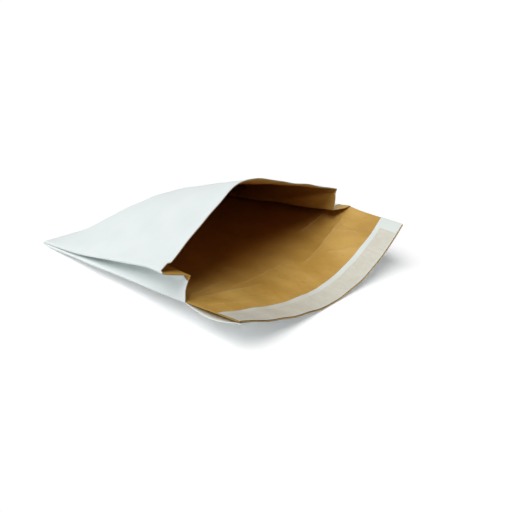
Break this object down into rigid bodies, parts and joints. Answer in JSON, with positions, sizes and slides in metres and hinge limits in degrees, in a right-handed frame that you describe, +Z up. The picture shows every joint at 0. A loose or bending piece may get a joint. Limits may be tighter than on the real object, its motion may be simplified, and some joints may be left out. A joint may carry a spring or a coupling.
{
  "type": "gusseted paper envelope",
  "caption": "Open paper envelope with side gussets, a kraft lining and a long flap that carries an adhesive strip under a release liner.",
  "frame": {"origin": "under the middle of the envelope's bounding box, on the surface it lies on", "axes": "+Z up, +X across the envelope from the near gusset to the far gusset, the sealed end at +Y and the mouth and flap at -Y"},
  "size_m": [0.2428, 0.221, 0.0835],
  "materials": {
    "white_paper": "smooth bleached paper, matt",
    "kraft_paper": "natural kraft paper, slightly glazed",
    "adhesive": "hot-melt adhesive, tacky, under the liner",
    "liner_paper": "silicone-coated release paper, satin"
  },
  "bodies": {
    "root": {"outer_ply": "white_paper", "inner_ply": "kraft_paper", "adhesive_strip": "adhesive", "release_liner": "liner_paper"}
  },
  "joints": []
}
